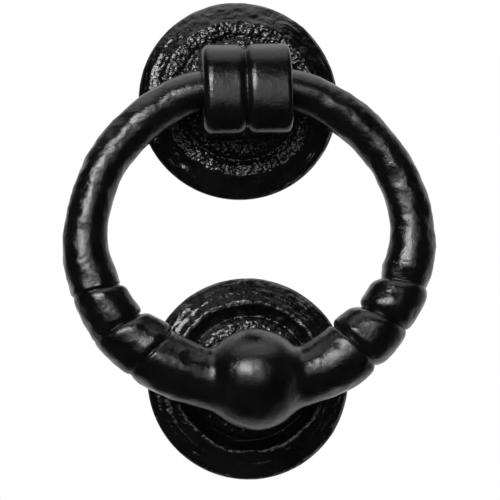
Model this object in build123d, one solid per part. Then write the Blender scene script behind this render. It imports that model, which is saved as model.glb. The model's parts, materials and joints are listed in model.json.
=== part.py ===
"""Ring door knocker with two round roses, millimetres, one STEP file per piece.

Frame: +Z up the door, +X to the right, +Y into the door. The door's outer face is the plane
y = 0, and the origin is the centre of the upper rose's back on that face. Heights in front of
the door are named *_HEIGHT and lie towards -Y.
"""
import os
from math import atan2, cos, radians, sin, sqrt

from build123d import *

# Overall layout
ROSE_DIAMETER = 63.5        # both roses, two and a half inches
ROSE_SPACING = 88.5         # upper rose centre to lower rose centre, and stud to stud
PIVOT_HEIGHT = 23.0         # swing axis in front of the door
DOOR_THICKNESS = 44.0       # between the roses and the washers

# Ring: a tapered bar bent round, centred below the swing axis
JOURNAL_RADIUS = 6.5        # bar inside the knuckle, also the thinnest part of the ring
JOURNAL_BEND_RADIUS = 20.0  # where the straight journal turns into the ring
RING_CENTRE_DROP = 49.4     # swing axis down to the ring's centre
RING_LINE_RADIUS = 51.4     # centre line of the bar over the upper half
BALL_RADIUS = 15.8
BALL_DROP = 41.0            # ring's centre down to the ball's centre

# Each stretch of one side: (angle from the bottom, centre line radius, bar radius) at its rings
UPPER_ARM = [
    (120, 51.4, 6.50),
    (105, 51.2, 6.65),
    (90, 50.8, 7.15),
    (80, 49.9, 7.75),
    (75.5, 49.3, 7.70),
]
FIRST_BEAD = [
    (75.5, 49.3, 7.70),
    (73, 48.9, 8.35),
    (68, 48.0, 8.70),
    (62, 47.2, 8.70),
    (59.5, 46.9, 8.25),
]
SECOND_BEAD = [
    (59.5, 46.9, 8.25),
    (57, 46.5, 9.30),
    (52, 45.8, 9.60),
    (47, 45.3, 9.35),
    (44.5, 44.9, 8.80),
]
LOWER_ARM = [
    (44.5, 44.9, 8.80),
    (42, 44.7, 9.70),
    (37, 44.2, 9.85),
    (30, 43.6, 9.65),
    (22, 43.2, 9.15),
    (12, 42.6, 9.15),
]

# Knuckle: barrel round the journal, open at the back between two legs
BARREL_TOP = 13.8           # barrel's reach above the pivot line
BARREL_BOTTOM = 14.6        # and below it
BARREL_HEIGHT = 36.8        # front of the barrel from the door
KNUCKLE_WIDTH = 27.6
LEG_ROOT_HALF = 13.0        # half height of the legs where they meet the rose
LOBE_ROUNDING = 2.8
FRONT_RADIUS = 30.0         # slightly flattened front
FRONT_DROP = 1.8            # the front's crown below the pivot line
UPPER_CORNER_RADIUS = 11.0
LOWER_CORNER_RADIUS = 8.0
GROOVE_ROUNDING = 1.8       # meets its mirror image in the groove between the lobes
GROOVE_END_HEIGHT = 17.0    # legs are plain between here and the rose
JOURNAL_CLEARANCE = 0.3     # all round the journal
MOUTH_RADIUS = 8.4          # channel widened at both ends for the bending bar
MOUTH_DEPTH = 4.8
KEEPER_GAP = 0.15           # rose's keeper block to the knuckle's legs
KEEPER_WIDTH = 21.0

# Rose profile heights above the door
RIM_EDGE_HEIGHT = 1.4
RIM_TOP_HEIGHT = 4.75
RIDGE_HEIGHT = 6.25
BOSS_HEIGHT = 7.0
CAVITY_DEPTH = 2.0
PAD_RADIUS = 16.5           # solid middle at the back of each rose
PAD_RECESS = 0.5            # so that the rim seats on the door first
CAVITY_OUTER_RADIUS = 26.5

# M6 fixing studs: full diameter through the door, smaller where a thread engages
STUD_RADIUS = 3.0
STUD_END_RADIUS = 2.75
STUD_ENGAGEMENT = 5.2
STUD_TAIL = 9.4             # beyond the door, for washer and nut
THREAD_CLEARANCE = 0.02
WASHER_RADIUS = 9.0
WASHER_BORE_RADIUS = 3.2
WASHER_THICKNESS = 1.6
NUT_ACROSS_FLATS = 10.0
NUT_HEIGHT = 5.0
STUD_CHAMFER = 0.6

# M4 countersunk knuckle screws
SCREW_RADIUS = 2.0
SCREW_HOLE_RADIUS = 2.25
SCREW_OFFSET = 9.9          # up and down from the rose's centre
SCREW_HEAD_RADIUS = 3.75
SCREW_HEAD_DEPTH = 2.3
SCREW_TIP_HEIGHT = 14.6
SCREW_SOCKET_RADIUS = 1.3
SCREW_SOCKET_DEPTH = 1.4

ROSE_RADIUS = ROSE_DIAMETER / 2
INTO_DOOR = Plane(origin=(0, 0, 0), x_dir=(1, 0, 0), z_dir=(0, 1, 0))


def at_height(height):
    """Plane parallel to the door, facing into it, this far in front of it."""
    return INTO_DOOR.offset(-height)


def rod(radius, start_height, end_height, up=0.0):
    """Cylinder square to the door between two heights in front of it, `up` above the centre."""
    disc = Pos(0, 0, up) * (at_height(start_height) * Circle(radius))
    return extrude(disc, start_height - end_height)


def rose_blank():
    """Cast rose: sloping rim, ridge, cove and a flat boss, hollow behind its rim."""
    front = [
        Line((ROSE_RADIUS, 0), (ROSE_RADIUS, -RIM_EDGE_HEIGHT)),
        ThreePointArc((ROSE_RADIUS, -RIM_EDGE_HEIGHT), (31.4, -2.2), (30.8, -2.6)),
        Line((30.8, -2.6), (26.6, -RIM_TOP_HEIGHT)),
        ThreePointArc((26.6, -RIM_TOP_HEIGHT), (25.9, -5.07), (25.3, -5.5)),
        ThreePointArc((25.3, -5.5), (23.8, -RIDGE_HEIGHT), (22.3, -5.5)),
        ThreePointArc((22.3, -5.5), (20.6, -4.5), (18.9, -5.5)),
        TangentArc((16.3, -BOSS_HEIGHT), (18.9, -5.5), tangent=(1, 0)),
        Line((16.3, -BOSS_HEIGHT), (0, -BOSS_HEIGHT)),
    ]
    back = [
        Line((0, -BOSS_HEIGHT), (0, -PAD_RECESS)),
        Line((0, -PAD_RECESS), (PAD_RADIUS, -PAD_RECESS)),
        Line((PAD_RADIUS, -PAD_RECESS), (PAD_RADIUS + 0.5, -CAVITY_DEPTH)),
        Line((PAD_RADIUS + 0.5, -CAVITY_DEPTH), (CAVITY_OUTER_RADIUS - 0.5, -CAVITY_DEPTH)),
        Line((CAVITY_OUTER_RADIUS - 0.5, -CAVITY_DEPTH), (CAVITY_OUTER_RADIUS, 0)),
        Line((CAVITY_OUTER_RADIUS, 0), (ROSE_RADIUS, 0)),
    ]
    blank = revolve(make_face(front + back), Axis.Y)
    socket = rod(STUD_END_RADIUS + THREAD_CLEARANCE, PAD_RECESS + STUD_ENGAGEMENT, 0)
    return blank - socket


def upper_rose():
    """Rose with the keeper block that closes the knuckle's channel behind the journal."""
    channel = JOURNAL_RADIUS + JOURNAL_CLEARANCE
    keeper_half = channel - KEEPER_GAP
    block = Pos(0, -(BOSS_HEIGHT - 1 + PIVOT_HEIGHT) / 2, 0) * Box(
        KEEPER_WIDTH, PIVOT_HEIGHT - BOSS_HEIGHT + 1, 2 * keeper_half
    )
    seat = Pos(0, -PIVOT_HEIGHT, 0) * Rot(0, 90, 0) * Cylinder(channel, KEEPER_WIDTH + 2)
    horn_trim = Pos(0, -PIVOT_HEIGHT + 1, 0) * Box(KEEPER_WIDTH + 2, 6, 4 * keeper_half)
    rose = rose_blank() + (block - seat - horn_trim)
    for side in (1, -1):
        up = side * SCREW_OFFSET
        rose -= rod(SCREW_HOLE_RADIUS, BOSS_HEIGHT + 1, 0, up)
        rose -= screw_head(up, grow=0.1)
    return rose


def screw_head(up, grow=0.0):
    """Countersunk head, flush with the pad at the rose's back."""
    wide = at_height(PAD_RECESS) * Circle(SCREW_HEAD_RADIUS + grow)
    narrow = at_height(PAD_RECESS + SCREW_HEAD_DEPTH) * Circle(SCREW_RADIUS + grow)
    return Pos(0, 0, up) * loft([wide, narrow])


def knuckle_screw(up):
    """M4 countersunk screw with a hexagon socket, from behind the rose into one leg."""
    shank = rod(SCREW_RADIUS, SCREW_TIP_HEIGHT, PAD_RECESS + SCREW_HEAD_DEPTH, up)
    shank = chamfer(shank.edges().group_by(Axis.Y)[0], STUD_CHAMFER)
    mouth = Pos(0, 0, up) * (at_height(PAD_RECESS) * RegularPolygon(SCREW_SOCKET_RADIUS, 6))
    return shank + screw_head(up) - extrude(mouth, -SCREW_SOCKET_DEPTH)


def knuckle_corner(side, radius):
    """Tangent point with the front, middle and tangent point with the leg, as (Y, Z)."""
    front_centre = BARREL_HEIGHT - FRONT_RADIUS
    from_pivot = (BARREL_TOP if side > 0 else BARREL_BOTTOM) - radius
    up = side * from_pivot
    from_front = (up + FRONT_DROP) / (FRONT_RADIUS - radius)
    height = front_centre + (FRONT_RADIUS - radius) * sqrt(1 - from_front**2)
    start = side * atan2(from_front, sqrt(1 - from_front**2))
    run = height - BOSS_HEIGHT
    rise = from_pivot - LEG_ROOT_HALF
    far = sqrt(run**2 + rise**2)
    end = atan2(rise, run) + atan2(sqrt(far**2 - radius**2), -radius)
    points = []
    for angle in (start, (start + end) / 2, end):
        points.append((-height - radius * cos(angle), up + side * radius * sin(angle)))
    return points


def knuckle_outline():
    """Side view of the barrel and its legs, down to the rose's boss."""
    upper = knuckle_corner(1, UPPER_CORNER_RADIUS)
    lower = knuckle_corner(-1, LOWER_CORNER_RADIUS)
    upper_root = (-BOSS_HEIGHT, LEG_ROOT_HALF)
    lower_root = (-BOSS_HEIGHT, -LEG_ROOT_HALF)
    return make_face(
        [
            ThreePointArc(lower[0], (-BARREL_HEIGHT, -FRONT_DROP), upper[0]),
            ThreePointArc(*upper),
            Line(upper[2], upper_root),
            Line(upper_root, lower_root),
            Line(lower_root, lower[2]),
            ThreePointArc(*lower[::-1]),
        ]
    )


def knuckle():
    """Double-lobed barrel with two legs back to the rose and a bell-mouthed open channel."""
    outline = knuckle_outline()
    body = None
    for low in (-KNUCKLE_WIDTH / 2, 0):
        side = Plane(origin=(low, 0, 0), x_dir=(0, 1, 0), z_dir=(1, 0, 0))
        lobe = extrude(side * outline, KNUCKLE_WIDTH / 2)
        ends = lobe.faces().sort_by(Axis.X)
        for face in (ends[0], ends[-1]):
            at_groove = abs(face.center().X) < 0.1
            rounded = [edge for edge in face.edges() if edge.center().Y < -BOSS_HEIGHT - 0.1]
            lobe = fillet(rounded, GROOVE_ROUNDING if at_groove else LOBE_ROUNDING)
        body = lobe if body is None else body + lobe
    middle = Plane(origin=(-GROOVE_ROUNDING, 0, 0), x_dir=(0, 1, 0), z_dir=(1, 0, 0))
    legs = Box(10, GROOVE_END_HEIGHT - BOSS_HEIGHT, 40)
    bridge = extrude(middle * outline, 2 * GROOVE_ROUNDING)
    body += bridge & Pos(0, -(BOSS_HEIGHT + GROOVE_END_HEIGHT) / 2, 0) * legs

    channel = JOURNAL_RADIUS + JOURNAL_CLEARANCE
    body -= Pos(0, -PIVOT_HEIGHT, 0) * Rot(0, 90, 0) * Cylinder(channel, KNUCKLE_WIDTH + 2)
    slot_depth = PIVOT_HEIGHT
    body -= Pos(0, -slot_depth / 2, 0) * Box(KNUCKLE_WIDTH + 2, slot_depth, 2 * channel)
    for side_sign in (1, -1):
        inner = KNUCKLE_WIDTH / 2 - MOUTH_DEPTH
        narrow = Plane(origin=(side_sign * inner, -PIVOT_HEIGHT, 0), z_dir=(side_sign, 0, 0))
        wide = Plane(origin=(side_sign * KNUCKLE_WIDTH / 2, -PIVOT_HEIGHT, 0), z_dir=(side_sign, 0, 0))
        body -= loft([narrow * Circle(channel), wide * Circle(MOUTH_RADIUS)])
    for sign in (1, -1):
        hole = SCREW_RADIUS + THREAD_CLEARANCE
        body -= rod(hole, SCREW_TIP_HEIGHT + 0.5, 0, sign * SCREW_OFFSET)
    return body


def ring_section(angle, line_radius, bar_radius):
    """Round section of the bar at an angle from the bottom, on the right-hand side."""
    turn = radians(angle)
    at = (line_radius * sin(turn), -PIVOT_HEIGHT, -RING_CENTRE_DROP - line_radius * cos(turn))
    along = (cos(turn), 0, sin(turn))
    return Plane(origin=at, x_dir=(0, 1, 0), z_dir=along) * Circle(bar_radius)


def ring_top():
    """Straight journal, its two bends and the even part of the ring, as one bar."""
    drop = RING_CENTRE_DROP
    bend = JOURNAL_BEND_RADIUS
    half = sqrt((RING_LINE_RADIUS - bend) ** 2 - (drop - bend) ** 2)
    lean = atan2(half, drop - bend)
    join = (RING_LINE_RADIUS * sin(lean), -drop + RING_LINE_RADIUS * cos(lean))
    middle = (half + bend * sin(lean / 2), -bend + bend * cos(lean / 2))
    foot_angle = radians(UPPER_ARM[0][0])
    foot = (RING_LINE_RADIUS * sin(foot_angle), -drop - RING_LINE_RADIUS * cos(foot_angle))
    shoulder_angle = (radians(180) - lean + foot_angle) / 2
    shoulder = (RING_LINE_RADIUS * sin(shoulder_angle), -drop - RING_LINE_RADIUS * cos(shoulder_angle))
    front = Plane(origin=(0, -PIVOT_HEIGHT, 0), x_dir=(1, 0, 0), z_dir=(0, -1, 0))
    path = Wire(
        [
            front.from_local_coords(Line((0, 0), (half, 0))),
            front.from_local_coords(ThreePointArc((half, 0), middle, join)),
            front.from_local_coords(ThreePointArc(join, shoulder, foot)),
        ]
    )
    start = Plane(origin=(0, -PIVOT_HEIGHT, 0), z_dir=(1, 0, 0))
    return sweep(start * Circle(JOURNAL_RADIUS), path)


def ring():
    """One casting: journal, two tapered arms with two beads each, and the ball."""
    half = ring_top()
    for stretch in (UPPER_ARM, FIRST_BEAD, SECOND_BEAD, LOWER_ARM):
        half += loft([ring_section(*station) for station in stretch])
    ball = Pos(0, -PIVOT_HEIGHT, -RING_CENTRE_DROP - BALL_DROP) * Sphere(BALL_RADIUS)
    return half + mirror(half, about=Plane.YZ) + ball


def fixing_stud():
    """M6 stud through the door, full diameter between the rose's pad and the washer."""
    embedded = rod(STUD_END_RADIUS, PAD_RECESS + STUD_ENGAGEMENT - 0.2, PAD_RECESS)
    free = rod(STUD_RADIUS, PAD_RECESS, -DOOR_THICKNESS)
    tail = rod(STUD_END_RADIUS, -DOOR_THICKNESS, -DOOR_THICKNESS - STUD_TAIL)
    stud = embedded + free + tail
    tip = stud.edges().group_by(Axis.Y)[-1]
    return chamfer(tip, STUD_CHAMFER)


def fixing_washer():
    """Plain washer on the door's inner face."""
    outer = rod(WASHER_RADIUS, -DOOR_THICKNESS, -DOOR_THICKNESS - WASHER_THICKNESS)
    bore = rod(WASHER_BORE_RADIUS, -DOOR_THICKNESS + 1, -DOOR_THICKNESS - WASHER_THICKNESS - 1)
    return outer - bore


def fixing_nut():
    """Hexagon nut with both faces chamfered off its corners."""
    seat = at_height(-DOOR_THICKNESS - WASHER_THICKNESS)
    across_corners = NUT_ACROSS_FLATS / cos(radians(30))
    block = extrude(seat * RegularPolygon(across_corners / 2, 6), NUT_HEIGHT)
    near = -DOOR_THICKNESS - WASHER_THICKNESS
    turned = rod(across_corners / 2, near, near - NUT_HEIGHT)
    turned = chamfer(turned.edges(), 0.45)
    bore = rod(STUD_END_RADIUS + THREAD_CLEARANCE, near + 1, near - NUT_HEIGHT - 1)
    return (block & turned) - bore


def main():
    """Every piece in its place, one file each."""
    os.makedirs("parts", exist_ok=True)
    down = Pos(0, 0, -ROSE_SPACING)
    pieces = {
        "upper_rose": upper_rose(),
        "knuckle": knuckle(),
        "knuckle_screw_upper": knuckle_screw(SCREW_OFFSET),
        "knuckle_screw_lower": knuckle_screw(-SCREW_OFFSET),
        "ring": ring(),
        "lower_rose": down * rose_blank(),
    }
    for place, where in (("upper", Pos(0, 0, 0)), ("lower", down)):
        pieces[f"{place}_stud"] = where * fixing_stud()
        pieces[f"{place}_washer"] = where * fixing_washer()
        pieces[f"{place}_nut"] = where * fixing_nut()
    for name, piece in pieces.items():
        export_step(piece, f"parts/{name}.step")


main()
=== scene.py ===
"""Looks of a black ring door knocker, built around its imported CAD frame.

Shapes are worked out in millimetres and become meshes in metres. The door's outer face is
y = 0, the object's front faces -Y, and a height is a distance in front of the door.
"""
import json
from itertools import product
from math import asin, atan2, cos, pi, radians, sin, sqrt

import bmesh
import bpy
import numpy as np
from mathutils import Matrix, Vector

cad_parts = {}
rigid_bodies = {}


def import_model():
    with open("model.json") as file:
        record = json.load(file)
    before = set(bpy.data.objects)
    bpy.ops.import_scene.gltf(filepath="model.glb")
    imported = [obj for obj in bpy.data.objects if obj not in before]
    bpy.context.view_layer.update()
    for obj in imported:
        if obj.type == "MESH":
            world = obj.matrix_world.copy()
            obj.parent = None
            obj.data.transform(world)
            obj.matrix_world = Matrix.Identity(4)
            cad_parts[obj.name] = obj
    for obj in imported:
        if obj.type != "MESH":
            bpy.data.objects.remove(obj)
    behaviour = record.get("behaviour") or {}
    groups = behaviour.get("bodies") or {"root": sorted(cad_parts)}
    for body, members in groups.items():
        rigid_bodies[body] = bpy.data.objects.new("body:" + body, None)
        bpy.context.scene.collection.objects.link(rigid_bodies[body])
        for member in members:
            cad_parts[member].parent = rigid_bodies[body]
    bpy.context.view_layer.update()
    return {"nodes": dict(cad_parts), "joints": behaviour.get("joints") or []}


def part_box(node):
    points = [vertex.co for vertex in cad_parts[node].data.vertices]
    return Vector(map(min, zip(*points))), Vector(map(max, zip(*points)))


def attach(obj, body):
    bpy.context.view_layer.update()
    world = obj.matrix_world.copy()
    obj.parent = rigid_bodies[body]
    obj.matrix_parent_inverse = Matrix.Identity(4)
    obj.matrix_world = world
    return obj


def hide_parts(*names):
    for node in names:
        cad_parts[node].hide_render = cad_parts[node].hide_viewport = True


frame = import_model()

MM = 0.001


def cad_box(node):
    """Lowest and highest corner of a CAD node in millimetres."""
    return [np.array(corner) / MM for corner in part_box(node)]


# ---------------------------------------------------------------- sizes taken from the frame
JOINT = frame["joints"][0]
FIXED, SWINGING = JOINT["parent"], JOINT["child"]
PIVOT_HEIGHT = -JOINT["pos_m"][1] / MM
ROSE_LOW, ROSE_HIGH = cad_box("lower_rose")
LOWER_ROSE_Z = (ROSE_HIGH[2] + ROSE_LOW[2]) / 2
BOSS_HEIGHT = -ROSE_LOW[1]
KNUCKLE_LOW, KNUCKLE_HIGH = cad_box("knuckle")
KNUCKLE_HALF = KNUCKLE_HIGH[0]
BARREL_TOP, BARREL_BOTTOM = KNUCKLE_HIGH[2], -KNUCKLE_LOW[2]
KNUCKLE_FRONT = -KNUCKLE_LOW[1]

# ---------------------------------------------------------------- ring, about its own centre
RING_CENTRE_Z = -49.4
BALL_DROP = 41.0
BALL_RADIUS = 15.8
BALL_FILLET = 2.2
JOURNAL_RADIUS = 6.4
JOURNAL_HALF = 11.03
BEND_END_ANGLE = 159.4
# (angle from the bottom, inner edge, outer edge) of the bar, measured from the ring's centre
SHOULDERS = [
    (BEND_END_ANGLE, 45.0, 57.8), (140, 44.9, 57.85), (120, 44.95, 57.85),
    (99, 44.3, 57.85), (90, 43.6, 57.95),
]
RIGHT_ARM = [(84, 42.4, 57.6), (80.5, 41.5, 57.2), (78, 41.6, 56.7), (75.2, 42.0, 56.0)]
LEFT_ARM = [(84, 42.6, 57.8), (79, 41.9, 57.6), (76.5, 41.8, 57.6), (75.2, 42.4, 57.0)]
# start angle, end angle, edges in the first groove, at the crown and in the second groove, squareness
RIGHT_BEADS = [
    (75.2, 60.2, (42.0, 56.0), (38.6, 56.5), (39.5, 54.5), 4.0),
    (60.2, 44.8, (39.5, 54.5), (35.2, 55.3), (36.1, 53.1), 4.0),
]
LEFT_BEADS = [
    (75.2, 60.2, (42.4, 57.0), (39.5, 56.9), (40.4, 56.0), 7.0),
    (60.2, 44.8, (40.4, 56.0), (35.9, 55.8), (36.4, 54.5), 7.0),
]
BOTTOM = [(10, 33.6, 52.0), (0, 33.4, 52.0)]
RIGHT_LOWER = [
    (44.8, 36.1, 53.1), (42.5, 34.7, 54.1), (36, 34.4, 54.1), (29, 34.3, 53.2), (22, 34.1, 52.3),
] + BOTTOM
LEFT_LOWER = [
    (44.8, 36.4, 54.5), (43, 35.3, 54.9), (36, 34.6, 54.2), (29, 34.2, 53.1), (22, 33.9, 52.3),
] + BOTTOM
GROOVE_ANGLES = (75.2, 60.2, 44.8)
RING_ROWS, RING_COLUMNS = 860, 112
JOURNAL_BEND = 20.0
# share of the casting's relief on the ball and the journal, and the angles between which it changes
BALL_RELIEF, BALL_END, ARM_START = 0.55, 20, 30
JOURNAL_RELIEF, ARM_END, JOURNAL_START = 0.03, 152, 160
RING_SEED = 11

# ---------------------------------------------------------------- knuckle
CHANNEL_RADIUS = 6.8
MOUTH_RADIUS = 8.4
MOUTH_DEPTH = 4.8
FRONT_RADIUS = 30.0
FRONT_DROP = 1.8
UPPER_CORNER, LOWER_CORNER = 11.0, 8.0
LEG_ROOT_HALF = 13.0
LEFT_SHOULDER, RIGHT_SHOULDER = 3.0, 1.7
GROOVE_X, GROOVE_HALF, GROOVE_DEPTH = -0.2, 3.0, 1.9
GROOVE_ROUND, GROOVE_UNIT = 0.93, 0.735
GROOVE_END_HEIGHT, GROOVE_FADE = 16.0, 5.0
KNUCKLE_COLUMNS, KNUCKLE_SHOULDER_ROWS, KNUCKLE_MIDDLE_ROWS = 250, 10, 82
KNUCKLE_RELIEF, KNUCKLE_SEED = 0.2, 31
LEG_FOOT = BOSS_HEIGHT - 0.6
KEEPER_HALF_WIDTH, KEEPER_HALF, KEEPER_TOP = 10.5, 6.65, 19.0
SCREW_OFFSET = 9.9
SCREW_HOLE = [(0.2, 3.85), (0.5, 3.85), (2.8, 2.25), (7.6, 2.25)]

# ---------------------------------------------------------------- roses: (radius, height)
BACK_PROFILE = [
    (0, 5.7), (2.77, 5.7), (2.77, 0.5), (16.5, 0.5), (17.0, 2.0), (26.0, 2.0), (26.5, 0.0), (31.3, 0.0),
]
RIM = [
    (31.65, 0.3), (31.75, 0.8), (31.7, 1.3), (31.4, 1.8),
    (30.9, 2.4), (30.2, 2.9), (29.4, 3.35), (28.6, 3.8),
]
LOWER_FRONT = RIM + [
    (27.9, 4.25), (27.3, 4.6), (26.7, 4.75), (26.2, 4.95), (25.6, 5.35), (25.0, 5.75), (24.4, 6.05),
    (23.8, 6.2), (23.1, 6.15), (22.5, 5.8), (21.7, 5.2), (20.8, 4.75), (19.9, 4.4), (19.35, 4.25),
    (19.15, 4.6), (18.8, 5.3), (18.4, 6.0), (17.6, 6.65), (16.4, 7.0), (8, 7.0), (0, 7.0),
]
UPPER_FRONT = RIM + [
    (27.6, 4.35), (26.6, 4.85), (25.9, 5.2), (25.4, 5.55), (24.9, 5.85), (24.2, 6.0), (22.8, 6.05),
    (21.4, 5.95), (20.7, 5.7), (20.1, 5.45), (19.75, 5.35), (19.4, 5.6), (19.0, 5.95), (18.5, 6.4),
    (17.6, 6.8), (16.0, 7.0), (8, 7.0), (0, 7.0),
]
# (radius, how pebbled) from the middle out
LOWER_PEBBLES = [(0, 0.25), (14.0, 0.25), (15.0, 0.8), (17.6, 0.8), (19.2, 0.5), (20.2, 0.1), (21.0, 0.0)]
UPPER_PEBBLES = [(0, 0.25), (13.6, 0.25), (14.8, 1.0), (24.4, 1.0), (25.0, 0.0)]
# the wavy crest on the rim, and the height over which relief grows from the rose's edge
CREST_RADIUS, CREST_HEIGHT, CREST_WIDTH, CREST_WANDER = 28.9, 0.34, 0.6, 0.7
RELIEF_START, RELIEF_FULL = 0.6, 2.2
# outside the boss the ridges wander sideways
WANDER_START, WANDER_FULL = 14, 18
LOWER_WANDER, UPPER_WANDER = 0.6, 0.45
LOWER_SEED, UPPER_SEED = 51, 71
ROSE_COLUMNS = 540
ROSE_STEP = 0.26
EDGE_ANGLE = 60
KNUCKLE_EDGE_ANGLE = 50


# ---------------------------------------------------------------- noise
def gradient_noise(points, size, seed):
    """Smooth noise, about -1 to 1, with features of this size."""
    random = np.random.default_rng(seed)
    slopes = random.normal(size=(256, 3))
    slopes /= np.linalg.norm(slopes, axis=1, keepdims=True)
    shuffle = random.permutation(256)
    places = points / size
    cell = np.floor(places).astype(int)
    within = places - cell
    fade = within**3 * (within * (within * 6 - 15) + 10)
    total = np.zeros(len(points))
    for corner in product((0, 1), repeat=3):
        key = (cell + corner) & 255
        pick = shuffle[(shuffle[(shuffle[key[:, 0]] + key[:, 1]) & 255] + key[:, 2]) & 255]
        slope = ((within - corner) * slopes[pick]).sum(1)
        total += slope * np.where(corner, fade, 1 - fade).prod(1)
    return total * 1.7


def cell_noise(points, size, seed):
    """Distance to the nearest scattered point, in units of size: 0 in a dent's middle."""
    random = np.random.default_rng(seed)
    offsets = random.random((4096, 3))
    places = points / size
    cell = np.floor(places).astype(int)
    nearest = np.full(len(points), 9.0)
    for step in product((-1, 0, 1), repeat=3):
        key = cell + step
        pick = (key[:, 0] * 73856093 ^ key[:, 1] * 19349663 ^ key[:, 2] * 83492791) & 4095
        away = key + offsets[pick] - places
        nearest = np.minimum(nearest, (away**2).sum(1))
    return np.sqrt(nearest)


def layers(points, *parts):
    """Sum of smooth noises, each given as (height, size, seed)."""
    return sum(height * gradient_noise(points, size, seed) for height, size, seed in parts)


def smooth_step(low, high, value):
    """0 below low, 1 above high, smooth between."""
    t = np.clip((value - low) / (high - low), 0, 1)
    return t * t * (3 - 2 * t)


def smooth_through(xs, ys, at):
    """Monotone cubic through the points, whose xs rise."""
    xs, ys = np.asarray(xs, float), np.asarray(ys, float)
    step = np.diff(xs)
    slope = np.diff(ys) / step
    inner = np.zeros(len(xs))
    same = slope[1:] * slope[:-1] > 0
    weight_a, weight_b = 2 * step[1:] + step[:-1], step[1:] + 2 * step[:-1]
    with np.errstate(divide="ignore", invalid="ignore"):
        mean = (weight_a + weight_b) / (weight_a / slope[:-1] + weight_b / slope[1:])
    inner[1:-1] = np.where(same, mean, 0)
    inner[0], inner[-1] = slope[0], slope[-1]
    index = np.clip(np.searchsorted(xs, at) - 1, 0, len(step) - 1)
    width = step[index]
    t = (at - xs[index]) / width
    return (
        ys[index] * (1 + 2 * t) * (1 - t) ** 2
        + inner[index] * width * t * (1 - t) ** 2
        + ys[index + 1] * t * t * (3 - 2 * t)
        + inner[index + 1] * width * t * t * (t - 1)
    )


# ---------------------------------------------------------------- meshes
def make_object(name, points, faces, smooth=True):
    """A mesh object from points in millimetres."""
    mesh = bpy.data.meshes.new(name)
    mesh.from_pydata((np.asarray(points) * MM).tolist(), [], faces)
    mesh.validate()
    mesh.polygons.foreach_set("use_smooth", [smooth] * len(mesh.polygons))
    mesh.update()
    made = bpy.data.objects.new(name, mesh)
    bpy.context.scene.collection.objects.link(made)
    return made


def sheet_faces(rows, columns, first=0, wrap_rows=False, wrap_columns=True):
    """Quads of a grid of rows by columns points, numbered from first."""
    row_count = rows if wrap_rows else rows - 1
    column_count = columns if wrap_columns else columns - 1
    i, j = np.meshgrid(np.arange(row_count), np.arange(column_count), indexing="ij")
    here, below = i * columns, (i + 1) % rows * columns
    right = (j + 1) % columns
    quads = np.stack([here + j, here + right, below + right, below + j], -1) + first
    return quads.reshape(-1, 4).tolist()


def face_outwards(made):
    """Points every face's normal out of its solid."""
    solid = bmesh.new()
    solid.from_mesh(made.data)
    bmesh.ops.recalc_face_normals(solid, faces=solid.faces)
    solid.to_mesh(made.data)
    solid.free()


def mark_sharp(made, angle):
    """Marks edges sharper than this angle, in degrees, so that they shade as edges."""
    solid = bmesh.new()
    solid.from_mesh(made.data)
    for edge in solid.edges:
        edge.smooth = len(edge.link_faces) == 2 and edge.calc_face_angle(0) < radians(angle)
    for face in solid.faces:
        face.smooth = True
    solid.to_mesh(made.data)
    solid.free()


def cut_or_join(made, tool, operation):
    """Applies one boolean to made and removes the tool."""
    change = made.modifiers.new("change", "BOOLEAN")
    change.object, change.operation, change.solver = tool, operation, "EXACT"
    graph = bpy.context.evaluated_depsgraph_get()
    result = bpy.data.meshes.new_from_object(made.evaluated_get(graph))
    made.modifiers.clear()
    old = made.data
    made.data = result
    bpy.data.meshes.remove(old)
    bpy.data.objects.remove(tool)


# ---------------------------------------------------------------- ring
def bar_edges(angle, arm, beads, lower):
    """Inner and outer edge of the bar at angles from the bottom, on one side."""
    inner, outer = np.zeros(len(angle)), np.zeros(len(angle))
    upper = sorted(SHOULDERS + arm)
    low = sorted(lower)
    for stations, there in ((upper, angle >= upper[0][0]), (low, angle <= low[-1][0])):
        stations = np.array(stations)
        inner[there] = smooth_through(stations[:, 0], stations[:, 1], angle[there])
        outer[there] = smooth_through(stations[:, 0], stations[:, 2], angle[there])
    for start, end, first, crown, second, square in beads:
        there = (angle < start) & (angle > end)
        t = (start - angle[there]) / (start - end)
        swell = 1 - np.abs(2 * t - 1) ** square
        for edge, side in ((inner, 0), (outer, 1)):
            base = first[side] * (1 - t) + second[side] * t
            edge[there] = base + (crown[side] - (first[side] + second[side]) / 2) * swell
    return inner, outer


def top_line(angle):
    """Distance of the bar's centre line from the ring's centre near the journal."""
    drop, bend = -RING_CENTRE_Z, JOURNAL_BEND
    away = np.radians(180 - angle)
    straight = drop / np.cos(away)
    centre = np.hypot(JOURNAL_HALF, drop - bend)
    lean = atan2(JOURNAL_HALF, drop - bend)
    apart = away - lean
    curved = centre * np.cos(apart) + np.sqrt(bend**2 - (centre * np.sin(apart)) ** 2)
    return np.where(np.abs(drop * np.tan(away)) < JOURNAL_HALF, straight, curved)


def ring_angles():
    """Signed angles from the bottom, closer together at the grooves."""
    fine = np.linspace(-180, 180, 20001)
    crowd = np.ones(len(fine))
    for groove in GROOVE_ANGLES:
        crowd += 2.2 * np.exp(-(((np.abs(fine) - groove) / 1.6) ** 2))
    share = np.concatenate([[0], np.cumsum((crowd[1:] + crowd[:-1]) / 2)])
    return np.interp(np.linspace(0, share[-1], RING_ROWS, endpoint=False), share, fine)


def hammered(points, seed, strength=1.0):
    """Height of a hand-finished casting's surface: broad waves, hammer marks, fine grain."""
    broad = layers(points, (0.33, 12, seed), (0.15, 5.6, seed + 1))
    mark_depth, mark_size, mark_edge, mean_mark = 0.26, 5.6, 0.75, 0.18
    marks = mark_depth * smooth_step(0.0, mark_edge, cell_noise(points, mark_size, seed + 2))
    fine = layers(points, (0.08, 2.8, seed + 3), (0.05, 1.3, seed + 4))
    return strength * (broad + marks - mean_mark + fine)


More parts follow.
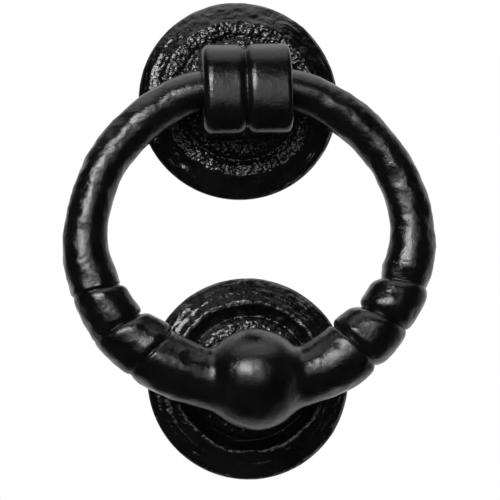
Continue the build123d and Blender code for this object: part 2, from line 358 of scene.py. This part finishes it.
def make_ring():
    """Journal, arms, beads and ball as one closed skin."""
    signed = ring_angles()
    angle = np.abs(signed)
    inner, outer = np.zeros(len(angle)), np.zeros(len(angle))
    sides = ((1, RIGHT_ARM, RIGHT_BEADS, RIGHT_LOWER), (-1, LEFT_ARM, LEFT_BEADS, LEFT_LOWER))
    for side, arm, beads, lower in sides:
        there = signed * side >= 0
        inner[there], outer[there] = bar_edges(angle[there], arm, beads, lower)
    line, bar = (inner + outer) / 2, (outer - inner) / 2
    top = angle > BEND_END_ANGLE
    line[top] = top_line(angle[top])
    bar[top] = JOURNAL_RADIUS

    around = np.linspace(0, 2 * pi, RING_COLUMNS, endpoint=False)
    turn, spin = np.meshgrid(np.radians(signed), around, indexing="ij")
    line_grid, bar_grid = line[:, None] + 0 * spin, bar[:, None] + 0 * spin
    # the skin's distance from the bar's centre line, by bisection: bar and ball joined by a fillet
    low, high = np.full(turn.shape, 2.0), np.full(turn.shape, 22.0)
    for _ in range(26):
        middle = (low + high) / 2
        out, depth = line_grid + middle * np.cos(spin), middle * np.sin(spin)
        ball = np.sqrt((out - BALL_DROP * np.cos(turn)) ** 2 + depth**2 + (BALL_DROP * np.sin(turn)) ** 2)
        near_ball, near_bar = ball - BALL_RADIUS, middle - bar_grid
        blend = np.clip(BALL_FILLET - np.abs(near_ball - near_bar), 0, None) / BALL_FILLET
        away = np.minimum(near_ball, near_bar) - blend**2 * BALL_FILLET / 4
        outside = away > 0
        high, low = np.where(outside, middle, high), np.where(outside, low, middle)
    reach = (low + high) / 2

    def place(reach):
        out = line_grid + reach * np.cos(spin)
        across, up = out * np.sin(turn), RING_CENTRE_Z - out * np.cos(turn)
        return np.stack([across, -PIVOT_HEIGHT + reach * np.sin(spin), up], -1)

    flat = place(reach).reshape(-1, 3)
    rough = hammered(flat, RING_SEED).reshape(reach.shape)
    on_ball = BALL_RELIEF + (1 - BALL_RELIEF) * smooth_step(BALL_END, ARM_START, angle)
    on_journal = 1 - (1 - JOURNAL_RELIEF) * smooth_step(ARM_END, JOURNAL_START, angle)
    reach = reach + rough * (on_ball * on_journal)[:, None]
    faces = sheet_faces(RING_ROWS, RING_COLUMNS, wrap_rows=True)
    made = make_object("ring_skin", place(reach).reshape(-1, 3), faces)
    face_outwards(made)
    return made


# ---------------------------------------------------------------- knuckle
def knuckle_corner(side, radius):
    """Points (height, z) of one rounded corner, from the front's tangent point to the leg's."""
    from_pivot = (BARREL_TOP if side > 0 else BARREL_BOTTOM) - radius
    up = side * from_pivot
    from_front = (up + FRONT_DROP) / (FRONT_RADIUS - radius)
    height = KNUCKLE_FRONT - FRONT_RADIUS + (FRONT_RADIUS - radius) * sqrt(1 - from_front**2)
    run, rise = height - BOSS_HEIGHT, from_pivot - LEG_ROOT_HALF
    far = sqrt(run**2 + rise**2)
    end = atan2(rise, run) + atan2(sqrt(far**2 - radius**2), -radius)
    angles = np.linspace(side * asin(from_front), end, 80)
    return np.stack([height + radius * np.cos(angles), up + side * radius * np.sin(angles)], -1)


def knuckle_outline(count):
    """Outline (height, z) and outward normals from the lower leg's root round to the upper's."""
    lower, upper = knuckle_corner(-1, LOWER_CORNER)[::-1], knuckle_corner(1, UPPER_CORNER)
    across = np.linspace(lower[-1][1], upper[0][1], 60)[1:-1]
    front = KNUCKLE_FRONT - FRONT_RADIUS + np.sqrt(FRONT_RADIUS**2 - (across + FRONT_DROP) ** 2)
    roots = np.array([[BOSS_HEIGHT, -LEG_ROOT_HALF], [BOSS_HEIGHT, LEG_ROOT_HALF]])
    whole = np.concatenate([roots[:1], lower, np.stack([front, across], -1), upper, roots[1:]])
    length = np.concatenate([[0], np.cumsum(np.linalg.norm(np.diff(whole, axis=0), axis=1))])
    even = np.linspace(0, length[-1], count)
    height, up = np.interp(even, length, whole[:, 0]), np.interp(even, length, whole[:, 1])
    along = np.stack([np.gradient(height), np.gradient(up)], -1)
    along /= np.linalg.norm(along, axis=1, keepdims=True)
    normal = np.stack([along[:, 1], -along[:, 0]], -1)
    return np.stack([height, up], -1), normal


def knuckle_stations():
    """Places along the knuckle's axis, closer together on its rounded shoulders."""
    ends = 1 - np.cos(np.linspace(0, pi / 2, KNUCKLE_SHOULDER_ROWS))
    left = -KNUCKLE_HALF + LEFT_SHOULDER * ends
    right = KNUCKLE_HALF - RIGHT_SHOULDER * ends[::-1]
    middle = np.linspace(left[-1], right[0], KNUCKLE_MIDDLE_ROWS + 2)[1:-1]
    return np.concatenate([left, middle, right])


def knuckle_inset(stations):
    """How far the shoulders and the groove lie inside the outline, at each station."""
    left_gap = np.clip(1 - (stations + KNUCKLE_HALF) / LEFT_SHOULDER, 0, 1)
    right_gap = np.clip(1 - (KNUCKLE_HALF - stations) / RIGHT_SHOULDER, 0, 1)
    left, right = (1 - np.sqrt(1 - gap**2) for gap in (left_gap, right_gap))
    shoulders = LEFT_SHOULDER * left + RIGHT_SHOULDER * right
    ratio = np.clip(np.abs(stations - GROOVE_X) / GROOVE_HALF, 0, 1)
    groove = GROOVE_DEPTH * (1 - np.sqrt(1 - (1 - ratio) ** 2 * GROOVE_ROUND)) / GROOVE_UNIT
    return shoulders, groove


def channel_wall(stations, count):
    """Bell-mouthed channel for the journal, open towards the rose, as rows of points."""
    mouth = smooth_step(KNUCKLE_HALF - MOUTH_DEPTH, KNUCKLE_HALF, np.abs(stations))
    wall = np.zeros((len(stations), count, 3))
    leg = count // 5
    for row, bore in enumerate(CHANNEL_RADIUS + mouth * (MOUTH_RADIUS - CHANNEL_RADIUS)):
        low = np.stack([np.linspace(LEG_FOOT, PIVOT_HEIGHT, leg), np.full(leg, -bore)], -1)
        arc = np.linspace(-pi / 2, pi / 2, count - 2 * leg + 2)[1:-1]
        round_part = np.stack([PIVOT_HEIGHT + bore * np.cos(arc), bore * np.sin(arc)], -1)
        loop = np.concatenate([low, round_part, low[::-1] * (1, -1)])
        wall[row] = np.stack([np.full(count, stations[row]), -loop[:, 0], loop[:, 1]], -1)
    return wall


def shell_faces(rows, count):
    """Quads of two sheets of rows by count points, joined along all four edges."""
    faces = sheet_faces(rows, count, 0, wrap_columns=False)
    faces += [quad[::-1] for quad in sheet_faces(rows, count, rows * count, wrap_columns=False)]
    half, last, end = rows * count, (rows - 1) * count, count - 1
    for j in range(count - 1):
        faces.append([j, j + 1, half + j + 1, half + j])
        faces.append([last + j, half + last + j, half + last + j + 1, last + j + 1])
    for i in range(rows - 1):
        here, there = i * count, (i + 1) * count
        faces.append([here, half + here, half + there, there])
        faces.append([here + end, there + end, half + there + end, half + here + end])
    return faces


def make_knuckle():
    """Double-lobed barrel with legs and an open, bell-mouthed channel, as one closed skin."""
    outline, normal = knuckle_outline(KNUCKLE_COLUMNS)
    stations = knuckle_stations()
    shoulders, groove = knuckle_inset(stations)
    in_front = smooth_step(GROOVE_END_HEIGHT, GROOVE_END_HEIGHT + GROOVE_FADE, outline[:, 0])
    depth = shoulders[:, None] + groove[:, None] * in_front[None, :]
    height = outline[None, :, 0] - normal[None, :, 0] * depth
    up = outline[None, :, 1] - normal[None, :, 1] * depth
    height[:, [0, -1]] = LEG_FOOT
    skin = np.stack([stations[:, None] + 0 * height, -height, up], -1)
    outwards = np.stack([0 * normal[:, 0], -normal[:, 0], normal[:, 1]], -1)
    rough = hammered(skin.reshape(-1, 3), KNUCKLE_SEED, KNUCKLE_RELIEF).reshape(height.shape)
    rough = rough * smooth_step(0, 1.5, height - BOSS_HEIGHT)
    skin = skin + outwards[None] * rough[..., None]

    wall = channel_wall(stations, KNUCKLE_COLUMNS)
    points = np.concatenate([skin.reshape(-1, 3), wall.reshape(-1, 3)])
    made = make_object("knuckle_skin", points, shell_faces(len(stations), KNUCKLE_COLUMNS))
    face_outwards(made)
    mark_sharp(made, KNUCKLE_EDGE_ANGLE)
    return made


# ---------------------------------------------------------------- roses
def soften(points, cut):
    """A polyline with each corner cut at this distance."""
    points = [np.array(p, float) for p in points]
    made = [points[0]]
    for before, here, after in zip(points, points[1:], points[2:]):
        for other in (before, after):
            away = other - here
            made.append(here + away / np.linalg.norm(away) * min(cut, np.linalg.norm(away) / 3))
    return np.array(made + [points[-1]])


def even_curve(points, step):
    """The smooth curve through the points, at even steps."""
    points = np.array(points, float)
    length = np.concatenate([[0], np.cumsum(np.linalg.norm(np.diff(points, axis=0), axis=1))])
    fine = np.linspace(0, length[-1], 4000)
    curve = np.stack([smooth_through(length, points[:, k], fine) for k in (0, 1)], -1)
    run = np.concatenate([[0], np.cumsum(np.linalg.norm(np.diff(curve, axis=0), axis=1))])
    even = np.linspace(0, run[-1], round(run[-1] / step) + 1)
    return np.stack([np.interp(even, run, curve[:, k]) for k in (0, 1)], -1)


def rose_lift(flat, ring_radius, ringed, pebbled, seed):
    """Height of a rose's casting relief: waves, grain, the crest on the rim, pebbles inside."""
    wave = layers(flat, (0.28, 11, seed), (0.18, 5, seed + 1))
    small = layers(flat, (0.14, 2.6, seed + 2), (0.08, 1.3, seed + 7)) + layers(ringed, (0.11, 1.5, seed + 8))
    from_crest = ring_radius - CREST_RADIUS + layers(flat, (CREST_WANDER, 5.0, seed + 10))
    here_and_there = smooth_step(-0.25, 0.45, gradient_noise(flat, 6.5, seed + 11))
    small += CREST_HEIGHT * np.exp(-((from_crest / CREST_WIDTH) ** 2)) * here_and_there
    ragged_edge = layers(flat, (0.5, 4.0, seed + 9))
    inside = np.interp(ring_radius + ragged_edge, *zip(*pebbled))
    pebbles = layers(flat, (0.27, 1.25, seed + 3), (0.22, 0.7, seed + 4))
    return wave + small + inside * pebbles


def rose_faces(rows):
    """Quads of the turned skin, and a fan round the pole at each end."""
    faces = sheet_faces(rows, ROSE_COLUMNS)
    first_pole, last_pole, last_row = rows * ROSE_COLUMNS, rows * ROSE_COLUMNS + 1, (rows - 1) * ROSE_COLUMNS
    for j in range(ROSE_COLUMNS):
        following = (j + 1) % ROSE_COLUMNS
        faces.append([first_pole, following, j])
        faces.append([last_pole, last_row + j, last_row + following])
    return faces


def make_rose(name, front, pebbled, centre_z, seed, ridge_wander):
    """Cast rose, turned from its profile, with a wavy rim and a pebbled middle."""
    back = soften(BACK_PROFILE, 0.15)
    face = even_curve(front, ROSE_STEP)[:-1]
    profile = np.concatenate([back, face])
    along = np.roll(profile, -1, axis=0) - np.roll(profile, 1, axis=0)
    along /= np.linalg.norm(along, axis=1, keepdims=True)
    normal = np.stack([along[1:, 1], -along[1:, 0]], -1)
    is_front = np.concatenate([np.zeros(len(back)), np.ones(len(face))])[1:]

    around = np.linspace(0, 2 * pi, ROSE_COLUMNS, endpoint=False)
    radius, spin = np.meshgrid(profile[1:, 0], around, indexing="ij")
    height = profile[1:, 1][:, None] + 0 * spin
    flat = np.stack([radius * np.cos(spin), -height, radius * np.sin(spin)], -1).reshape(-1, 3)
    ringed = np.stack([radius, spin * 7, 3 * np.sin(spin)], -1).reshape(-1, 3)
    ring_radius, spin = radius.reshape(-1), spin.reshape(-1)
    mask = (is_front[:, None] * smooth_step(RELIEF_START, RELIEF_FULL, height)).reshape(-1)
    normal = np.repeat(normal, ROSE_COLUMNS, axis=0)
    lift = rose_lift(flat, ring_radius, ringed, pebbled, seed) * mask
    slide = layers(flat, (ridge_wander, 9, seed + 5), (0.30, 3.4, seed + 6))
    slide *= mask * smooth_step(WANDER_START, WANDER_FULL, ring_radius) * (1 - np.abs(normal[:, 0]))
    new_radius = np.clip(ring_radius + normal[:, 0] * lift + slide, 0.05, None)
    new_height = height.reshape(-1) + normal[:, 1] * lift
    points = np.stack([new_radius * np.cos(spin), -new_height, new_radius * np.sin(spin)], -1)
    poles = [(0, -profile[0, 1], 0), (0, -BOSS_HEIGHT, 0)]
    points = np.concatenate([points, poles]) + (0, 0, centre_z)
    made = make_object(name, points, rose_faces(len(profile) - 1))
    face_outwards(made)
    mark_sharp(made, EDGE_ANGLE)
    return made


def make_keeper():
    """Block behind the journal that closes the knuckle's channel, hollowed to seat the journal."""
    lean = np.arccos((PIVOT_HEIGHT - KEEPER_TOP) / CHANNEL_RADIUS)
    angles = np.linspace(-lean, lean, 24)
    seat = [(PIVOT_HEIGHT - CHANNEL_RADIUS * cos(t), CHANNEL_RADIUS * sin(t)) for t in angles]
    section = [(LEG_FOOT, -KEEPER_HALF), (KEEPER_TOP, -KEEPER_HALF)] + seat
    section += [(KEEPER_TOP, KEEPER_HALF), (LEG_FOOT, KEEPER_HALF)]
    count = len(section)
    points = [(side * KEEPER_HALF_WIDTH, -height, up) for side in (-1, 1) for height, up in section]
    faces = sheet_faces(2, count) + [list(range(count)), list(range(2 * count))[:count - 1:-1]]
    made = make_object("keeper", points, faces)
    face_outwards(made)
    return made


def screw_hole(up):
    """Countersunk hole from the rose's back, as a solid to cut away."""
    columns = 48
    around = np.linspace(0, 2 * pi, columns, endpoint=False)
    points = [(r * cos(t), -height, up + r * sin(t)) for height, r in SCREW_HOLE for t in around]
    ends = [list(range(columns)), list(range(len(points) - columns, len(points)))[::-1]]
    made = make_object("screw_hole", points, sheet_faces(len(SCREW_HOLE), columns) + ends)
    face_outwards(made)
    return made


# ---------------------------------------------------------------- materials
DEEP_BLACK, WORN_BLACK = (0.0015, 0.0015, 0.0016), (0.0036, 0.0036, 0.0037)
BLUE_ZINC, STRAW_ZINC = (0.60, 0.62, 0.65), (0.72, 0.71, 0.67)


class Nodes:
    """Short ways to add and join shader nodes."""

    def __init__(self, name):
        self.material = bpy.data.materials.new(name)
        self.material.use_nodes = True
        self.tree = self.material.node_tree
        self.shader = self.tree.nodes["Principled BSDF"]
        self.place = self.add("ShaderNodeTexCoord").outputs["Object"]

    def add(self, kind, **values):
        """A new node with its properties set."""
        node = self.tree.nodes.new(kind)
        for key, value in values.items():
            setattr(node, key, value)
        return node

    def join(self, output, target):
        """Links one output to one input."""
        self.tree.links.new(output, target)

    def noise(self, size_mm, detail=2.0, rough=0.5):
        """Noise in 0 to 1 with features of this size."""
        node = self.add("ShaderNodeTexNoise")
        node.inputs["Scale"].default_value = 1 / (size_mm * MM)
        node.inputs["Detail"].default_value = detail
        node.inputs["Roughness"].default_value = rough
        self.join(self.place, node.inputs["Vector"])
        return node.outputs["Fac"]

    def spread(self, value, low, high, to_low, to_high):
        """Maps low..high onto to_low..to_high."""
        node = self.add("ShaderNodeMapRange")
        self.join(value, node.inputs["Value"])
        for key, number in (("From Min", low), ("From Max", high), ("To Min", to_low), ("To Max", to_high)):
            node.inputs[key].default_value = number
        return node.outputs["Result"]

    def blend(self, factor, low, high):
        """Colour between two, by factor."""
        node = self.add("ShaderNodeMix", data_type="RGBA")
        self.join(factor, node.inputs["Factor"])
        node.inputs["A"].default_value = (*low, 1)
        node.inputs["B"].default_value = (*high, 1)
        return node.outputs["Result"]

    def bump(self, height, depth_mm, under=None):
        """Bump of this depth, laid over another."""
        node = self.add("ShaderNodeBump")
        node.inputs["Strength"].default_value = 1.0
        node.inputs["Distance"].default_value = depth_mm * MM
        self.join(height, node.inputs["Height"])
        if under is not None:
            self.join(under, node.inputs["Normal"])
        return node.outputs["Normal"]


def powder_coat(name, peel, grain, rough=0.17, shine=0.5):
    """Semi-gloss black powder coat over a casting: orange peel, fine grain, faint cloudiness."""
    nodes = Nodes(name)
    cloud = nodes.noise(7.0, 3.0, 0.6)
    colour = nodes.blend(nodes.spread(cloud, 0.3, 0.7, 0, 1), DEEP_BLACK, WORN_BLACK)
    nodes.join(colour, nodes.shader.inputs["Base Color"])
    patchy = nodes.spread(nodes.noise(1.8, 3.0), 0.3, 0.7, rough - 0.05, rough + 0.07)
    nodes.join(patchy, nodes.shader.inputs["Roughness"])
    nodes.shader.inputs["Specular IOR Level"].default_value = shine
    skin = nodes.bump(nodes.noise(1.3, 3.0, 0.55), peel)
    skin = nodes.bump(nodes.noise(0.42, 2.0), grain, skin)
    nodes.join(skin, nodes.shader.inputs["Normal"])
    return nodes.material


def zinc_plate(name):
    """Bright zinc plate on rolled steel: faint blue and straw tints, fine scratches."""
    nodes = Nodes(name)
    tint = nodes.spread(nodes.noise(3.5, 3.0, 0.6), 0.3, 0.7, 0, 1)
    nodes.join(nodes.blend(tint, BLUE_ZINC, STRAW_ZINC), nodes.shader.inputs["Base Color"])
    nodes.shader.inputs["Metallic"].default_value = 1.0
    nodes.join(nodes.spread(nodes.noise(0.9, 4.0), 0.3, 0.7, 0.22, 0.42), nodes.shader.inputs["Roughness"])
    skin = nodes.bump(nodes.noise(0.5, 3.0), 0.012)
    nodes.join(skin, nodes.shader.inputs["Normal"])
    return nodes.material


def dress(made, material):
    """Gives a piece one material."""
    made.data.materials.clear()
    made.data.materials.append(material)


# ---------------------------------------------------------------- studs
def make_stud(name, low, high):
    """M6 threaded stud with chamfered ends, along Y between two CAD corners."""
    pitch, crest, root, tip = 1.0, 2.98, 2.40, 2.2
    flat = 0.1  # share of the pitch that is level at the crest and at the root
    centre_x, centre_z = (low[0] + high[0]) / 2, (low[2] + high[2]) / 2
    columns, per_turn = 36, 10
    rows = int((high[1] - low[1]) / pitch * per_turn) + 1
    along = np.linspace(low[1], high[1], rows)
    spin = np.linspace(0, 2 * pi, columns, endpoint=False)
    place, turn = np.meshgrid(along, spin, indexing="ij")
    phase = (place / pitch + turn / (2 * pi)) % 1.0
    ramp = np.clip((np.abs(phase - 0.5) * 2 - flat) / (1 - 2 * flat), 0, 1)
    radius = root + (crest - root) * ramp
    end = np.minimum(place - low[1], high[1] - place)
    radius = np.minimum(radius, tip + end)
    points = np.stack([centre_x + radius * np.cos(turn), place, centre_z + radius * np.sin(turn)], -1)
    faces = sheet_faces(rows, columns)
    faces.append(list(range(columns))[::-1])
    faces.append([(rows - 1) * columns + j for j in range(columns)])
    made = make_object(name, points.reshape(-1, 3), faces)
    face_outwards(made)
    mark_sharp(made, 50)
    return made


# ---------------------------------------------------------------- world, lights, floor, camera
def make_world():
    """White to the camera. In reflections, dark in front of the object and white behind it."""
    world = bpy.data.worlds.new("studio")
    bpy.context.scene.world = world
    world.use_nodes = True
    tree = world.node_tree
    tree.nodes.clear()
    add, join = tree.nodes.new, tree.links.new
    darkest = 0.022
    direction = add("ShaderNodeSeparateXYZ")
    place = add("ShaderNodeTexCoord")
    join(place.outputs["Generated"], direction.inputs[0])

    def ramp(output, low, high, top):
        """Smooth rise from 0 at low to top at high."""
        node = add("ShaderNodeMapRange")
        node.interpolation_type = "SMOOTHSTEP"
        join(output, node.inputs["Value"])
        node.inputs["From Min"].default_value = low
        node.inputs["From Max"].default_value = high
        node.inputs["To Max"].default_value = top
        return node.outputs["Result"]

    lean = add("ShaderNodeVectorMath")
    lean.operation = "DOT_PRODUCT"
    join(place.outputs["Generated"], lean.inputs[0])
    lean.inputs[1].default_value = (0.25, 1.0, 0.0)
    behind = ramp(lean.outputs["Value"], low=0.15, high=0.70, top=1.0)
    above = ramp(direction.outputs["Z"], low=0.68, high=1.0, top=1.9)
    total = add("ShaderNodeMath")
    join(behind, total.inputs[0])
    join(above, total.inputs[1])
    lifted = add("ShaderNodeMath")
    join(total.outputs[0], lifted.inputs[0])
    lifted.inputs[1].default_value = darkest
    seen = add("ShaderNodeBackground")
    seen.inputs["Color"].default_value = (1, 1, 1, 1)
    mirrored = add("ShaderNodeBackground")
    join(lifted.outputs[0], mirrored.inputs["Strength"])
    mix = add("ShaderNodeMixShader")
    join(add("ShaderNodeLightPath").outputs["Is Camera Ray"], mix.inputs[0])
    join(mirrored.outputs[0], mix.inputs[1])
    join(seen.outputs[0], mix.inputs[2])
    join(mix.outputs[0], add("ShaderNodeOutputWorld").inputs["Surface"])


def aim(thing, target, roll=0.0):
    """Turns a camera or light at target, then rolls it about its line of sight."""
    sight = (target - thing.location).to_track_quat("-Z", "Y").to_matrix().to_4x4()
    thing.matrix_world = Matrix.Translation(thing.location) @ sight @ Matrix.Rotation(roll, 4, "Z")


def direction_to(azimuth, elevation):
    """Unit vector from the object towards a place in front of it, in degrees left and up."""
    a, e = radians(azimuth), radians(elevation)
    return Vector((-sin(a) * cos(e), -cos(a) * cos(e), sin(e)))


def soft_box(name, target, azimuth, elevation, distance, width, height, power, roll=0.0):
    """A plain rectangular area light in front of the object, aimed at target."""
    data = bpy.data.lights.new(name, "AREA")
    data.shape, data.size, data.size_y, data.energy = "RECTANGLE", width, height, power
    box = bpy.data.objects.new(name, data)
    box.visible_camera = False
    bpy.context.scene.collection.objects.link(box)
    box.location = target + direction_to(azimuth, elevation) * distance
    aim(box, target, radians(roll))
    return box


def make_camera(target, azimuth, elevation, distance, frame_width, roll):
    """Long lens in front of the object, to its left and a little below."""
    data = bpy.data.cameras.new("camera")
    data.sensor_width = 36.0
    data.lens = data.sensor_width * distance / frame_width
    camera = bpy.data.objects.new("camera", data)
    bpy.context.scene.collection.objects.link(camera)
    camera.location = target + direction_to(azimuth, elevation) * distance
    aim(camera, target, radians(roll))
    bpy.context.scene.camera = camera
    return camera


def make_floor(height):
    """Plain pale floor, well below the object and left out of its reflections."""
    size = 3.0
    corners = [(x * size, y * size, height) for x, y in ((-1, -1), (1, -1), (1, 1), (-1, 1))]
    mesh = bpy.data.meshes.new("floor")
    mesh.from_pydata(corners, [], [(0, 1, 2, 3)])
    floor = bpy.data.objects.new("floor", mesh)
    bpy.context.scene.collection.objects.link(floor)
    floor.visible_glossy = False
    nodes = Nodes("pale_floor")
    cloud = nodes.spread(nodes.noise(400.0), 0.3, 0.7, 0, 1)
    colour = nodes.blend(cloud, (0.80, 0.80, 0.80), (0.84, 0.84, 0.84))
    nodes.join(colour, nodes.shader.inputs["Base Color"])
    nodes.shader.inputs["Roughness"].default_value = 0.8
    dress(floor, nodes.material)


# ---------------------------------------------------------------- the scene
bpy.context.scene.view_settings.view_transform = "Standard"
middle = Vector((0.0005, -0.017, -0.0496))
make_camera(middle, azimuth=5.6, elevation=-6.5, distance=0.95, frame_width=0.1556, roll=-2.0)
make_world()
soft_box("key", middle, azimuth=14.0, elevation=12.0, distance=1.0, width=1.1, height=0.52, power=3.6)
soft_box(
    "key_core", middle, azimuth=24.0, elevation=22.0, distance=0.98,
    width=0.54, height=0.20, power=7.2, roll=8.0,
)
make_floor(-0.4)

ring = make_ring()
dress(ring, powder_coat("black_powder_coat_ring", peel=0.085, grain=0.09, rough=0.14))
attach(ring, SWINGING)
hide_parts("ring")

knuckle = make_knuckle()
dress(knuckle, powder_coat("black_powder_coat_knuckle", peel=0.06, grain=0.06, rough=0.13, shine=0.36))
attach(knuckle, FIXED)
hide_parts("knuckle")

rose_coat = powder_coat("black_powder_coat_roses", peel=0.22, grain=0.035)
lower_rose = make_rose("lower_rose_skin", LOWER_FRONT, LOWER_PEBBLES, LOWER_ROSE_Z, LOWER_SEED, LOWER_WANDER)
upper_rose = make_rose("upper_rose_skin", UPPER_FRONT, UPPER_PEBBLES, 0.0, UPPER_SEED, UPPER_WANDER)
for up in (SCREW_OFFSET, -SCREW_OFFSET):
    cut_or_join(upper_rose, screw_hole(up), "DIFFERENCE")
cut_or_join(upper_rose, make_keeper(), "UNION")
mark_sharp(upper_rose, EDGE_ANGLE)
for rose, node in ((upper_rose, "upper_rose"), (lower_rose, "lower_rose")):
    dress(rose, rose_coat)
    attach(rose, FIXED)
    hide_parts(node)

zinc = zinc_plate("bright_zinc_plate")
for place in ("upper", "lower"):
    stud = make_stud(f"{place}_stud_thread", *cad_box(f"{place}_stud"))
    dress(stud, zinc)
    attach(stud, FIXED)
    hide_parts(f"{place}_stud")
    for part in ("washer", "nut"):
        dress(frame["nodes"][f"{place}_{part}"], zinc)
    dress(frame["nodes"][f"knuckle_screw_{place}"], zinc)
